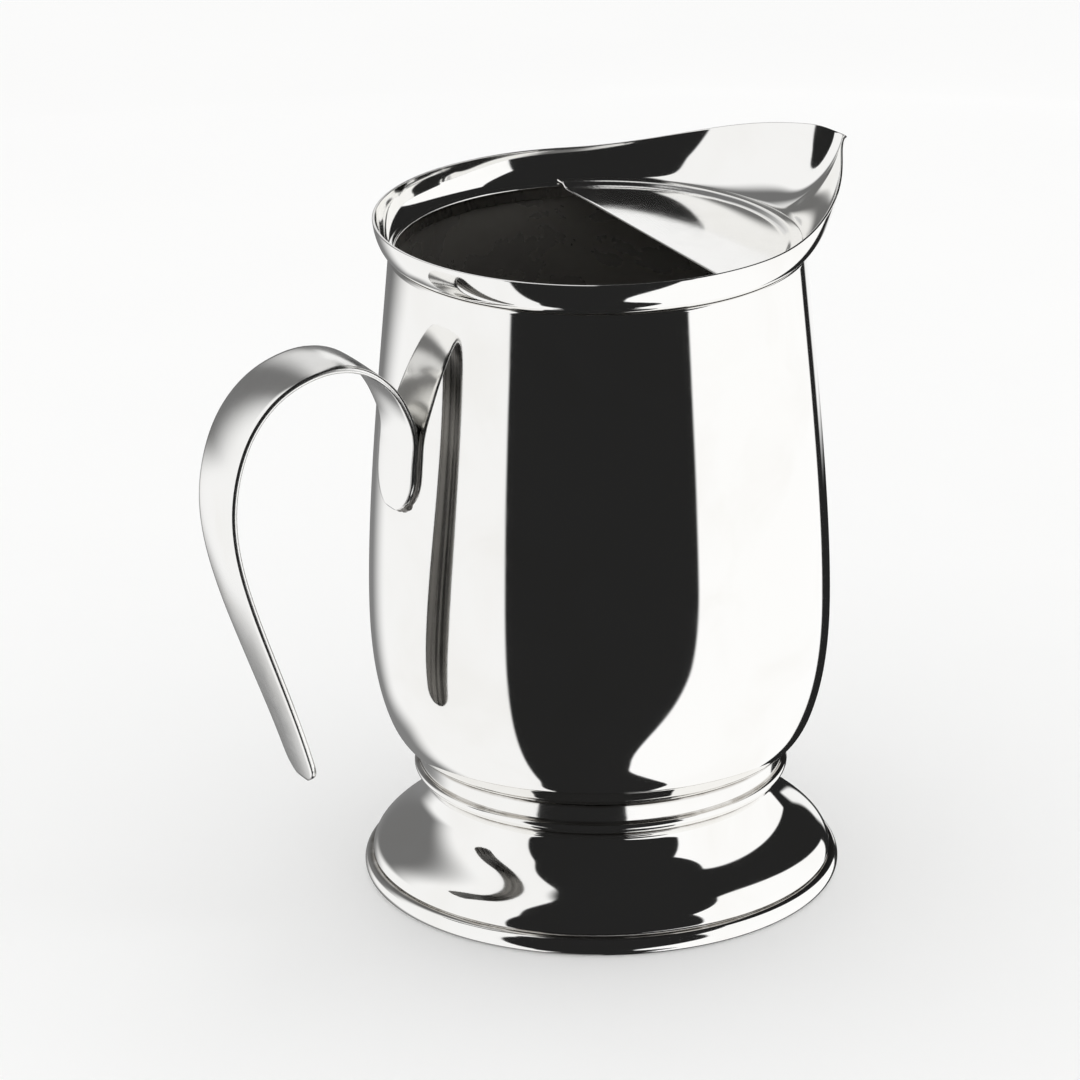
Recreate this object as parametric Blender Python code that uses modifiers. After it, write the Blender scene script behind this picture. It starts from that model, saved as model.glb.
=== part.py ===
"""Water pitcher in sheet silver, with an ice guard and a strap handle.

Metres, +Z up, standing on Z = 0. The spout points along +X and the handle along -X.
The round parts are turned about a vertical axis at X = AXIS_X, which puts the origin
under the middle of the whole pitcher. Outlines are (radius, height) pairs about that axis.
"""
import math

import bpy

# ---- driving dimensions ----------------------------------------------------------------
SPOUT_REACH = 0.0823        # axis to the tip of the spout
HANDLE_REACH = 0.1239       # axis to the outside of the handle
AXIS_X = (HANDLE_REACH - SPOUT_REACH) / 2

GAP = 0.0003                # between two pieces that are soldered together
SHEET = 0.0010              # sheet of the body and the foot
COLLAR_SHEET = 0.0008
TURN_STEPS = 48             # facets round a turned piece
SAME_POINT = 0.00005        # points on the axis closer than this are one
SHARP_ANGLE = math.radians(35)

RIM_WIRE_TOP = 0.0055       # top of the wire under the foot
FOOT_RADIUS = 0.0700        # widest point of that wire
FOOT_EDGE_RADIUS = 0.0676   # lower edge of the foot
FOOT_NECK_RADIUS = 0.0513
FOOT_NECK_Z = 0.0280
WAIST_Z = 0.0310            # underside of the waist ring
BAND_Z = 0.0350             # where its bead ends and its band begins
WAIST_TOP = 0.0410
HEEL_RADIUS = 0.0552        # where the body leaves the waist ring
BELLY_RADIUS = 0.0674
BELLY_Z = 0.0860
NECK_RADIUS = 0.0600
NECK_Z = 0.1917             # top edge of the body
FLOOR_RISE = 0.0035         # the floor domes up into the body

SKIRT_DEPTH = 0.0037        # how far the collar reaches down inside the neck
RIM_RADIUS = 0.0645         # plain rim, away from the spout
RIM_HEIGHT = 0.0098         # plain rim above the collar's crease
SPOUT_HALF_ANGLE = math.radians(72)
SPOUT_SWELL = 0.0075        # wide, shallow part of the spout
SPOUT_POINT = 0.0135        # narrow point on top of the swell
SPOUT_POINT_ANGLE = math.radians(7.5)
SPOUT_POINT_ROUND = math.radians(2.0)
SPOUT_RISE = 0.0132
LIP_DROP = 0.0022           # the lip turns down at the tip
LIP_ANGLE = math.radians(4.0)
WALL_STRAIGHT = 0.30        # share of a straight flare in the collar's bowl-shaped wall
SPOUT_STRAIGHT = 0.25       # and how much more there is of it at the spout
SPOUT_STRAIGHT_ANGLE = math.radians(38)
COLLAR_STEPS = 60           # facets round the collar
COLLAR_CROWDING = 0.6       # how strongly they crowd together at the spout

GUARD_SHEET = 0.0008
GUARD_EDGE_X = 0.0170       # straight edge, from the axis towards the spout
GUARD_RADIUS = 0.0594
GUARD_DROP = 0.0013         # the plate lies this far below its round edge
GUARD_CORNER = 0.0015       # its pointed corners are cut this short
JOGGLE_START = 0.0055       # the step up begins this far inside the round edge
JOGGLE_END = 0.0030         # and ends here

STRAP = 0.0018              # thickness of the handle
STRAP_HALF_WIDTH = 0.0112
STRAP_CROWN = 0.0009        # the outer face is domed this much
TONGUE_HALF_WIDTH = 0.0110
TONGUE_LOW_Z = 0.1240       # the tongue lies on the body from here
TONGUE_HIGH_Z = 0.1470      # to here
TIP_HALF_WIDTH = 0.0082     # near the free end
TONGUE_ROUND = 0.0115       # length of the rounded end of the tongue
TIP_ROUND = 0.0065          # and of the free end
ROUND_FLOOR = 0.3           # both ends are cut square at this share of the width
WIDEN_START = 0.014         # the strap widens from here along it
WIDEN_LENGTH = 0.040
TAPER_LENGTH = 0.060        # and narrows over this length to the free end
HUG_END = 0.060             # the hollow that fits the body has run out here
HUG_LENGTH = 0.032
# centre line of the free part of the strap, from the body over the arch to the free end
STRAP_ROUTE = [
    (-0.0668, 0.1540), (-0.0712, 0.1635), (-0.0800, 0.1714), (-0.0917, 0.1739), (-0.1066, 0.1690),
    (-0.1174, 0.1573), (-0.1226, 0.1405), (-0.1222, 0.1235), (-0.1173, 0.1045),
    (-0.1099, 0.0840), (-0.1023, 0.0635), (-0.0967, 0.0465),
]

COLLECTION = "silver_water_pitcher"


# ---- outlines --------------------------------------------------------------------------
def bezier(a, b, c, d, steps):
    """Points along a cubic Bezier curve, both ends included."""
    points = []
    for i in range(steps + 1):
        t = i / steps
        weights = ((1 - t) ** 3, 3 * t * (1 - t) ** 2, 3 * t * t * (1 - t), t ** 3)
        points.append(tuple(sum(w * p[k] for w, p in zip(weights, (a, b, c, d)))
                            for k in (0, 1)))
    return points


def unit(dx, dz):
    length = math.hypot(dx, dz)
    return dx / length, dz / length


def offset(points, distance):
    """The outline moved sideways, to its left as it runs, with mitred corners."""
    moved = []
    last = len(points) - 1
    for i, (r, z) in enumerate(points):
        before = points[i - 1] if i else None
        after = points[i + 1] if i < last else None
        t_in = unit(r - before[0], z - before[1]) if before else None
        t_out = unit(after[0] - r, after[1] - z) if after else None
        t_in, t_out = t_in or t_out, t_out or t_in
        nr, nz = unit(-t_in[1] - t_out[1], t_in[0] + t_out[0])
        mitre = 1 / (nr * -t_in[1] + nz * t_in[0])
        moved.append((r + nr * distance * mitre, z + nz * distance * mitre))
    return moved


def squared_shell(outer):
    """The outline, and the same wall's inside back to the start, with level ends."""
    inner = offset(outer, -SHEET)
    inner[0] = (inner[0][0], outer[0][1])
    inner[-1] = (inner[-1][0], outer[-1][1])
    return outer + inner[::-1]


def body_outline():
    """Outer side of the body, from the neck down to the middle of the floor."""
    upper = bezier((NECK_RADIUS, NECK_Z), (0.0626, 0.1620), (BELLY_RADIUS, 0.1180),
                   (BELLY_RADIUS, BELLY_Z), 6)
    lower = bezier((BELLY_RADIUS, BELLY_Z), (BELLY_RADIUS, 0.0700), (0.0656, 0.0590),
                   (0.0624, 0.0505), 4)
    heel_z = WAIST_TOP + GAP
    heel = bezier((0.0624, 0.0505), (0.0608, 0.0462), (0.0583, 0.0426),
                  (HEEL_RADIUS, heel_z), 4)
    seat = (HEEL_RADIUS - 0.005, heel_z)
    floor = bezier(seat, (0.040, heel_z), (0.020, heel_z + FLOOR_RISE),
                   (0.0, heel_z + FLOOR_RISE), 3)
    return upper + lower[1:] + heel[1:] + floor


def radius_of_body(z):
    """Outer radius of the body at a height between the heel and the neck."""
    outline = body_outline()
    for (r0, z0), (r1, z1) in zip(outline, outline[1:]):
        if z1 <= z <= z0:
            return r0 + (r1 - r0) * (z0 - z) / (z0 - z1)
    raise ValueError("height is outside the body")


def body_profile():
    """Up the inside from the middle of the floor, and down the outside to it again."""
    outer = body_outline()
    inner = offset(outer, -SHEET)
    inner[0] = (inner[0][0], NECK_Z)
    inner[-1] = (0.0, outer[-1][1] + SHEET)
    return inner[::-1] + outer


def waist_profile():
    top = WAIST_TOP
    bead = bezier((0.0538, BAND_Z), (0.0556, 0.0345), (0.0552, 0.0322), (0.0524, WAIST_Z), 4)
    return [(0.0505, top), (HEEL_RADIUS - 0.0002, top), (0.0542, 0.0379)] + bead + [
        (0.0505, WAIST_Z)]


def foot_profile():
    top_z = WAIST_Z - GAP
    low_z = RIM_WIRE_TOP + GAP
    outer = [(0.0523, top_z), (0.0523, 0.0302), (0.0516, 0.0293)]
    outer += bezier((FOOT_NECK_RADIUS, FOOT_NECK_Z), (0.0523, 0.0160),
                    (FOOT_EDGE_RADIUS, 0.0140), (FOOT_EDGE_RADIUS, low_z), 7)
    return squared_shell(outer)


def rim_wire_profile():
    inner_radius = FOOT_EDGE_RADIUS - 0.0024
    bead = bezier((FOOT_EDGE_RADIUS - 0.0001, RIM_WIRE_TOP), (FOOT_RADIUS + 0.0004, 0.0052),
                  (FOOT_RADIUS + 0.0008, 0.0014), (0.0686, 0.0), 5)
    return [(inner_radius, RIM_WIRE_TOP - 0.0004)] + bead + [(inner_radius, 0.0)]


# ---- collar and spout ------------------------------------------------------------------
def rim_at(angle):
    """Radius and height above the crease of the collar's rim, angle 0 at the spout."""
    turn = abs(angle)
    swell = 0.0
    if turn < SPOUT_HALF_ANGLE:
        swell = math.cos(turn / SPOUT_HALF_ANGLE * math.pi / 2)
    point = math.exp(-math.hypot(turn, SPOUT_POINT_ROUND) / SPOUT_POINT_ANGLE)
    radius = RIM_RADIUS + SPOUT_SWELL * swell ** 2 + SPOUT_POINT * point
    lip = LIP_DROP * math.exp(-(turn / LIP_ANGLE) ** 2)
    return radius, RIM_HEIGHT + SPOUT_RISE * swell ** 2.4 - lip


def collar_section(angle):
    """Closed outline of the collar's wall at one angle, starting at the rim's outside."""
    crease_z = NECK_Z + GAP
    radius, height = rim_at(angle)
    groove = SPOUT_POINT * math.exp(-math.hypot(angle, SPOUT_POINT_ROUND) / SPOUT_POINT_ANGLE)
    flare = radius - groove - NECK_RADIUS
    straight = WALL_STRAIGHT + SPOUT_STRAIGHT * math.exp(-(angle / SPOUT_STRAIGHT_ANGLE) ** 2)
    outer = []
    steps = 6
    for i in range(steps + 1):
        v = 1 - i / steps
        bowl_r = math.sin(v * math.pi / 2)
        bowl_z = 1 - math.cos(v * math.pi / 2)
        outer.append((NECK_RADIUS + flare * (straight * v + (1 - straight) * bowl_r)
                      + groove * v * (2 - v),
                      crease_z + height * (straight * v + (1 - straight) * bowl_z)))
    inner = offset(outer, -COLLAR_SHEET)
    skirt_r = NECK_RADIUS - SHEET - GAP
    skirt_low = crease_z - SKIRT_DEPTH
    ledge_z = crease_z + COLLAR_SHEET
    skirt = [(skirt_r, crease_z), (skirt_r, skirt_low), (skirt_r - COLLAR_SHEET, skirt_low),
             (skirt_r - COLLAR_SHEET, ledge_z - 0.0010), (skirt_r - 0.0003, ledge_z - 0.0001)]
    return outer + skirt + inner[::-1]


def spread_angle(turn):
    """Angles round the collar, packed closer together near the spout's point."""
    return turn - COLLAR_CROWDING * math.sin(turn)


# ---- building --------------------------------------------------------------------------
def silver(name, shade, roughness):
    material = bpy.data.materials.new(name)
    material.use_nodes = True
    shader = material.node_tree.nodes["Principled BSDF"]
    shader.inputs["Base Color"].default_value = (shade, shade * 0.99, shade * 0.97, 1)
    shader.inputs["Metallic"].default_value = 1.0
    shader.inputs["Roughness"].default_value = roughness
    return material


def add_mesh(name, vertices, edges, faces, material):
    mesh = bpy.data.meshes.new(name)
    mesh.from_pydata(vertices, edges, faces)
    mesh.materials.append(material)
    piece = bpy.data.objects.new(name, mesh)
    piece.location = (AXIS_X, 0, 0)
    bpy.data.collections[COLLECTION].objects.link(piece)
    return piece


def turned(name, profile, closed, material):
    """A profile that runs down its outer side, turned about the pitcher's axis."""
    count = len(profile)
    edges = [(i, i + 1) for i in range(count - 1)]
    if closed:
        edges.append((count - 1, 0))
    piece = add_mesh(name, [(r, 0, z) for r, z in profile], edges, [], material)
    screw = piece.modifiers.new("turn", "SCREW")
    screw.steps = TURN_STEPS
    screw.render_steps = TURN_STEPS
    screw.use_merge_vertices = True
    screw.merge_threshold = SAME_POINT
    screw.use_smooth_shade = True
    return piece


def smooth(piece):
    piece.data.shade_smooth()
    piece.data.set_sharp_from_angle(angle=SHARP_ANGLE)


def build_collar(material):
    steps = COLLAR_STEPS
    vertices = []
    for i in range(steps):
        angle = spread_angle((i / steps) * 2 * math.pi - math.pi)
        vertices += [(r * math.cos(angle), r * math.sin(angle), z)
                     for r, z in collar_section(angle)]
    ring = len(vertices) // steps
    faces = []
    for i in range(steps):
        here, there = i * ring, (i + 1) % steps * ring
        for k in range(ring):
            n = (k + 1) % ring
            faces.append((here + k, here + n, there + n, there + k))
    smooth(add_mesh("spout_collar", vertices, [], faces, material))


def grid_faces(rows, columns):
    return [(i * columns + k, i * columns + k + 1, (i + 1) * columns + k + 1,
             (i + 1) * columns + k)
            for i in range(rows - 1) for k in range(columns - 1)]


def thicken(piece, thickness, side):
    solidify = piece.modifiers.new("sheet", "SOLIDIFY")
    solidify.thickness = thickness
    solidify.offset = side
    solidify.use_even_offset = True


def guard_height(radius):
    """The plate is flat, then joggles up to lie on the collar's ledge."""
    start, end = GUARD_RADIUS - JOGGLE_START, GUARD_RADIUS - JOGGLE_END
    t = min(max((radius - start) / (end - start), 0), 1)
    ledge_z = NECK_Z + GAP + COLLAR_SHEET + GAP
    return ledge_z + GUARD_SHEET - GUARD_DROP * (1 - t * t * (3 - 2 * t))


def build_guard(material):
    rows, columns = 25, 11
    half = math.sqrt(GUARD_RADIUS ** 2 - (GUARD_EDGE_X + GUARD_CORNER) ** 2)
    vertices = []
    for i in range(rows):
        y = half * math.sin((i / (rows - 1) - 0.5) * math.pi)
        reach = math.sqrt(GUARD_RADIUS ** 2 - y * y)
        for k in range(columns):
            t = k / (columns - 1)
            x = GUARD_EDGE_X + (reach - GUARD_EDGE_X) * (1 - (1 - t) ** 2)
            vertices.append((x, y, guard_height(math.hypot(x, y))))
    guard = add_mesh("ice_guard", vertices, [], grid_faces(rows, columns), material)
    thicken(guard, GUARD_SHEET, -1)
    smooth(guard)


def spline(points, steps):
    """A smooth curve through the points, evenly stepped between them."""
    ends = [tuple(2 * a - b for a, b in zip(points[0], points[1]))]
    tail = [tuple(2 * a - b for a, b in zip(points[-1], points[-2]))]
    knots = ends + points + tail
    curve = []
    for p0, p1, p2, p3 in zip(knots, knots[1:], knots[2:], knots[3:]):
        for i in range(steps):
            t = i / steps
            curve.append(tuple(0.5 * (2 * b + (c - a) * t + (2 * a - 5 * b + 4 * c - d) * t * t
                                      + (3 * b - a - 3 * c + d) * t ** 3)
                               for a, b, c, d in zip(p0, p1, p2, p3)))
    return curve + [points[-1]]


def strap_route():
    """Centre line of the strap: up the body, over the arch and down to the free end."""
    rise = TONGUE_HIGH_Z - TONGUE_LOW_Z
    lying = []
    for share in (0, 0.08, 0.25, 0.5, 0.75, 1):
        z = TONGUE_LOW_Z + rise * share
        lying.append((-(radius_of_body(z) + GAP + STRAP / 2), z))
    return spline(lying + STRAP_ROUTE, 3)


def strap_half_width(from_start, from_end):
    """Half width of the strap, from the distances along it to its two ends."""
    neck = min(max((from_start - WIDEN_START) / WIDEN_LENGTH, 0), 1)
    width = TONGUE_HALF_WIDTH + (STRAP_HALF_WIDTH - TONGUE_HALF_WIDTH) * neck * neck * (3 - 2 * neck)
    taper = min(max((TAPER_LENGTH - from_end) / TAPER_LENGTH, 0), 1)
    width += (TIP_HALF_WIDTH - STRAP_HALF_WIDTH) * taper * taper
    for distance, round_off in ((from_start, TONGUE_ROUND), (from_end, TIP_ROUND)):
        if distance < round_off:
            width *= math.sqrt(max(1 - (1 - distance / round_off) ** 2, ROUND_FLOOR ** 2))
    return width


def build_handle(material):
    route = strap_route()
    steps = [math.dist(a, b) for a, b in zip(route, route[1:])]
    length = sum(steps)
    columns = 5
    vertices = []
    done = 0.0
    for i, (x, z) in enumerate(route):
        a, b = route[max(i - 1, 0)], route[min(i + 1, len(route) - 1)]
        tx, tz = unit(b[0] - a[0], b[1] - a[1])
        half = strap_half_width(done, length - done)
        hug = min(max((HUG_END - done) / HUG_LENGTH, 0), 1)
        for k in range(columns):
            y = half * (2 * k / (columns - 1) - 1)
            wrap = BELLY_RADIUS - math.sqrt(BELLY_RADIUS ** 2 - y * y)
            bend = wrap * hug - STRAP_CROWN * (1 - hug) * (y / STRAP_HALF_WIDTH) ** 2
            vertices.append((x + tz * bend, y, z - tx * bend))
        if i < len(steps):
            done += steps[i]
    handle = add_mesh("handle", vertices, [], grid_faces(len(route), columns), material)
    thicken(handle, STRAP, 0)
    smooth(handle)


def main():
    for item in list(bpy.data.objects):
        bpy.data.objects.remove(item)
    collection = bpy.data.collections.new(COLLECTION)
    bpy.context.scene.collection.children.link(collection)

    turned("body", body_profile(), False, silver("body_silver", 0.93, 0.06))
    turned("waist_ring", waist_profile(), True, silver("waist_silver", 0.92, 0.09))
    turned("foot", foot_profile(), True, silver("foot_silver", 0.93, 0.07))
    turned("foot_rim", rim_wire_profile(), True, silver("rim_silver", 0.91, 0.10))
    build_collar(silver("collar_silver", 0.93, 0.07))
    build_guard(silver("guard_silver", 0.90, 0.16))
    build_handle(silver("handle_silver", 0.92, 0.18))


main()
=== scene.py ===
"""Silver water pitcher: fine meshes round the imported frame, silver finishes and a studio.

Metres, +Z up, in the frame's own axes: the spout points along +X and the handle along -X.
Outlines are (radius, height) pairs about the pitcher's upright axis.
"""
import math

import bmesh
import bpy
from mathutils import Matrix, Vector


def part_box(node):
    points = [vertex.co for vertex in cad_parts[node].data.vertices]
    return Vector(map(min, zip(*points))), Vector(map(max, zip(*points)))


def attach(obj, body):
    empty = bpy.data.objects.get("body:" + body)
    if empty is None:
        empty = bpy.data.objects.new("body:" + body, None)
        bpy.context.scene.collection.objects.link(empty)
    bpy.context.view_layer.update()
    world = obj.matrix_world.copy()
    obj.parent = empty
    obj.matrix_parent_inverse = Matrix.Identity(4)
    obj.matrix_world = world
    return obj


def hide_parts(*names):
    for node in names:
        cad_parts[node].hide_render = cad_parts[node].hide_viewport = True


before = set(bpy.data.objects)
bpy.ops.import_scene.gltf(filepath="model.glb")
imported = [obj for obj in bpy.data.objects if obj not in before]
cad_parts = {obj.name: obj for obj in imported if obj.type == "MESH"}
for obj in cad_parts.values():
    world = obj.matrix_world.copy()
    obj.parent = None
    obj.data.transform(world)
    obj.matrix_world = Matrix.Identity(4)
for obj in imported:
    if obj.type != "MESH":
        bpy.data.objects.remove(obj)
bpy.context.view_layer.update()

# ---- sizes that come from the frame ----------------------------------------------------
WIRE_LOW, WIRE_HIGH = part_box("foot_rim")
FOOT_LOW, FOOT_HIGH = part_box("foot")
WAIST_LOW, WAIST_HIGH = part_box("waist_ring")
BODY_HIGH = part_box("body")[1]
COLLAR_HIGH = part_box("spout_collar")[1]
GUARD_LOW, GUARD_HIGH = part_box("ice_guard")

AXIS_X = (WIRE_LOW.x + WIRE_HIGH.x) / 2
FOOT_RADIUS = WIRE_HIGH.y           # widest point of the wire under the foot
RIM_WIRE_TOP = WIRE_HIGH.z
FOOT_EDGE_RADIUS = FOOT_HIGH.y
BELLY_RADIUS = BODY_HIGH.y
NECK_Z = BODY_HIGH.z
WAIST_Z = WAIST_LOW.z
WAIST_TOP = WAIST_HIGH.z
RIM_RADIUS = COLLAR_HIGH.y
GUARD_EDGE_X = GUARD_LOW.x - AXIS_X # straight edge, from the axis towards the spout
GAP = FOOT_LOW.z - RIM_WIRE_TOP     # between two pieces that are soldered together

# ---- sizes the frame does not give -----------------------------------------------------
SHEET = 0.0010              # sheet of the body and the foot
COLLAR_SHEET = 0.0008
HEEL_RADIUS = 0.0552        # where the body leaves the waist band
FOOT_NECK_RADIUS = 0.0513
FOOT_NECK_Z = 0.0280
BAND_Z = 0.0350             # where the waist's bead ends and its band begins
BELLY_Z = 0.0860
NECK_RADIUS = 0.0600
FLOOR_RISE = 0.0035         # the floor domes up into the body

SKIRT_DEPTH = 0.0037        # how far the collar reaches down inside the neck
RIM_HEIGHT = 0.0098         # plain rim above the collar's crease
SPOUT_HALF_ANGLE = math.radians(72)
SPOUT_SWELL = 0.0075        # wide, shallow part of the spout
SPOUT_POINT = 0.0135        # narrow point on top of the swell
SPOUT_POINT_ANGLE = math.radians(7.5)
SPOUT_POINT_ROUND = math.radians(2.0)
SPOUT_RISE = 0.0132
SPOUT_RISE_POWER = 2.4
LIP_DROP = 0.0022           # the lip turns down at the tip
LIP_ANGLE = math.radians(4.0)
WALL_STRAIGHT = 0.30        # share of a straight flare in the collar's bowl-shaped wall
SPOUT_STRAIGHT = 0.25       # and how much more there is of it at the spout
SPOUT_STRAIGHT_ANGLE = math.radians(38)

GUARD_SHEET = 0.0008
GUARD_RADIUS = 0.0594
GUARD_DROP = 0.0013         # the plate lies this far below its round edge
GUARD_CORNER = 0.0015       # its pointed corners are cut this short
JOGGLE_START = 0.0055       # the step up begins this far inside the round edge
JOGGLE_END = 0.0030         # and ends here

STRAP = 0.0018              # thickness of the handle
STRAP_HALF_WIDTH = 0.0112
STRAP_CROWN = 0.0009        # the outer face is domed this much
STRAP_EDGE = 0.0005         # width of the rounding along each side
STRAP_END = 0.0008          # length over which its thickness runs out at each end
STRAP_END_FLOOR = 0.02      # and the square of the share of it that is left there
TONGUE_HALF_WIDTH = 0.0110
TONGUE_LOW_Z = 0.1240       # the tongue lies on the body from here
TONGUE_HIGH_Z = 0.1470      # to here
TIP_HALF_WIDTH = 0.0082     # near the free end
TONGUE_ROUND = 0.0115       # length of the rounded end of the tongue
TIP_ROUND = 0.0065          # and of the free end
ROUND_FLOOR = 0.002         # square of the share of the width that is left at a rounded end
WIDEN_START = 0.014         # the strap widens from here along it
WIDEN_LENGTH = 0.040
TAPER_LENGTH = 0.060        # and narrows over this length to the free end
HUG_END = 0.060             # the hollow that fits the body has run out here
HUG_LENGTH = 0.032
# centre line of the free part of the strap, from the body over the arch to the free end
STRAP_ROUTE = [
    (-0.0668, 0.1540), (-0.0712, 0.1635), (-0.0800, 0.1714), (-0.0917, 0.1739), (-0.1066, 0.1690),
    (-0.1174, 0.1573), (-0.1226, 0.1405), (-0.1222, 0.1235), (-0.1173, 0.1045),
    (-0.1099, 0.0840), (-0.1023, 0.0635), (-0.0967, 0.0465),
]

BRAZE_TOP = 0.1500          # the braze round the tongue ends here
BRAZE_INSET = 0.0003        # it lies this far inside the tongue's outline
BRAZE_SIZE = 0.00055        # half its thickness
BRAZE_RIPPLE = 0.22         # share of that by which it is uneven
# the thick dark lump stands for the shadow in the gap under the tongue's lower edge
BRAZE_LUMP = 0.60           # where along it it is thickest
BRAZE_LUMP_LENGTH = 0.075   # share of its length that is thicker
BRAZE_LUMP_SIZE = 0.00075
BRAZE_WAVES = (95, 41)      # how closely its two sets of ripples follow one another
BRAZE_END_FLOOR = 0.05      # square of the share of its thickness that is left at its ends
BRAZE_END_SLOPE = 12        # how quickly that square grows along it

# ---- how fine the meshes are -----------------------------------------------------------
TURN_STEPS = 288            # steps round a turned piece
CORNER_STEPS = 5            # steps round a softened corner
CORNER_PULL = 0.45          # how full its curve is
CORNER_HOLD = 0.15          # where the holding points lie, as a share of the corner's reach
COLLAR_STEPS = 420
COLLAR_CROWDING = 0.6       # how strongly those steps crowd together at the spout
WALL_STEPS = 28             # steps up the collar's wall
GUARD_ROWS, GUARD_COLUMNS = 121, 60
ROUTE_STEPS = 20            # steps between two points of the strap's route
ROUTE_SMOOTHING = 60        # how many times the route is smoothed
STRAP_COLUMNS = 17          # points across the handle
EDGE_STEPS = 6              # steps round the edge of the handle and of the guard
BRAZE_STEPS = 12            # steps round the bead of braze
SAME_POINT = 1e-6           # points closer than this are one

# ---- camera and studio -----------------------------------------------------------------
CAMERA_AZIMUTH = math.radians(-28.1)
CAMERA_DISTANCE = 1.9007    # in plan, from the pitcher's axis
CAMERA_HEIGHT = 0.8229
CAMERA_HEADING = math.radians(62.42)
CAMERA_PITCH = math.radians(20.77)
CAMERA_ROLL = -0.0105
CAMERA_LENS = 232.2         # millimetres
SENSOR_WIDTH = 36           # millimetres
VIEW_END = 50               # nothing further off than this is drawn


# ---- outlines --------------------------------------------------------------------------
def bezier(a, b, c, d, steps):
    """Points along a cubic Bezier curve, both ends included."""
    points = []
    for i in range(steps + 1):
        t = i / steps
        weights = ((1 - t) ** 3, 3 * t * (1 - t) ** 2, 3 * t * t * (1 - t), t ** 3)
        points.append(tuple(sum(w * p[k] for w, p in zip(weights, (a, b, c, d)))
                            for k in (0, 1)))
    return points


def unit(dx, dz):
    length = math.hypot(dx, dz)
    return dx / length, dz / length


def offset(points, distance):
    """The outline moved sideways, to its left as it runs, with mitred corners."""
    moved = []
    last = len(points) - 1
    for i, (r, z) in enumerate(points):
        before = points[i - 1] if i else None
        after = points[i + 1] if i < last else None
        t_in = unit(r - before[0], z - before[1]) if before else None
        t_out = unit(after[0] - r, after[1] - z) if after else None
        t_in, t_out = t_in or t_out, t_out or t_in
        nr, nz = unit(-t_in[1] - t_out[1], t_in[0] + t_out[0])
        mitre = 1 / (nr * -t_in[1] + nz * t_in[0])
        moved.append((r + nr * distance * mitre, z + nz * distance * mitre))
    return moved


def softened(before, corner, after, radius):
    """A corner rounded off, with a holding point on each side of the bend."""
    bx, bz = unit(before[0] - corner[0], before[1] - corner[1])
    ax, az = unit(after[0] - corner[0], after[1] - corner[1])
    longest = 0.45 * min(math.dist(before, corner), math.dist(after, corner))
    reach = min(radius, longest)
    start = (corner[0] + bx * reach, corner[1] + bz * reach)
    end = (corner[0] + ax * reach, corner[1] + az * reach)
    mid_a, mid_b = (tuple(p + (c - p) * (1 - CORNER_PULL) for p, c in zip(point, corner))
                    for point in (start, end))
    hold = CORNER_HOLD * reach
    return ([(start[0] + bx * hold, start[1] + bz * hold)]
            + bezier(start, mid_a, mid_b, end, CORNER_STEPS)
            + [(end[0] + ax * hold, end[1] + az * hold)])


def body_outline():
    """Outer side of the body, from the neck down to the middle of the floor."""
    upper = bezier((NECK_RADIUS, NECK_Z), (0.0626, 0.1620), (BELLY_RADIUS, 0.1180),
                   (BELLY_RADIUS, BELLY_Z), 64)
    lower = bezier((BELLY_RADIUS, BELLY_Z), (BELLY_RADIUS, 0.0700), (0.0656, 0.0590),
                   (0.0624, 0.0505), 28)
    heel_z = WAIST_TOP + GAP
    heel = bezier((0.0624, 0.0505), (0.0608, 0.0462), (0.0583, 0.0426),
                  (HEEL_RADIUS, heel_z), 12)
    seat = (HEEL_RADIUS - 0.005, heel_z)
    floor = bezier(seat, (0.040, heel_z), (0.020, heel_z + FLOOR_RISE),
                   (0.0, heel_z + FLOOR_RISE), 16)
    corner = softened(heel[-2], heel[-1], seat, 0.0003)
    return upper + lower[1:] + heel[1:-1] + corner + floor


def radius_of_body(z):
    """Outer radius of the body at a height between the heel and the neck."""
    outline = body_outline()
    for (r0, z0), (r1, z1) in zip(outline, outline[1:]):
        if z1 <= z <= z0:
            return r0 + (r1 - r0) * (z0 - z) / (z0 - z1)
    raise ValueError("height is outside the body")


def body_profile():
    """Up the inside from the middle of the floor, and down the outside to it again."""
    outer = body_outline()
    inner = offset(outer, -SHEET)
    inner[0] = (inner[0][0], NECK_Z)
    inner[-1] = (0.0, outer[-1][1] + SHEET)
    return inner[::-1] + outer


def waist_profile():
    top = WAIST_TOP
    bead = bezier((0.0538, BAND_Z), (0.0556, 0.0345), (0.0552, 0.0322), (0.0524, WAIST_Z), 16)
    inner = 0.0505
    edge = (HEEL_RADIUS - 0.0002, top)
    foot_of_band = (0.0542, 0.0379)
    profile = [(inner, top)]
    profile += softened(profile[0], edge, foot_of_band, 0.0004)
    profile += [foot_of_band, (0.0539, 0.0364)]
    profile += softened((0.0539, 0.0364), (0.0536, BAND_Z), bead[3], 0.0003)
    profile += bead[3:-1]
    profile += softened(bead[-2], bead[-1], (inner, WAIST_Z), 0.0002)
    return profile + [(inner, WAIST_Z)]


def foot_profile():
    top_z = WAIST_Z - GAP
    low_z = RIM_WIRE_TOP + GAP
    collar = bezier((0.0523, top_z), (0.0523, 0.0300), (0.0513, 0.0294),
                    (FOOT_NECK_RADIUS, FOOT_NECK_Z), 10)
    slope = bezier((FOOT_NECK_RADIUS, FOOT_NECK_Z), (0.0523, 0.0160),
                   (FOOT_EDGE_RADIUS, 0.0140), (FOOT_EDGE_RADIUS, low_z), 44)
    outer = collar + slope[1:]
    inner = offset(outer, -SHEET)
    inner[0] = (inner[0][0], top_z)
    inner[-1] = (inner[-1][0], low_z)
    return outer + inner[::-1]


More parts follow.
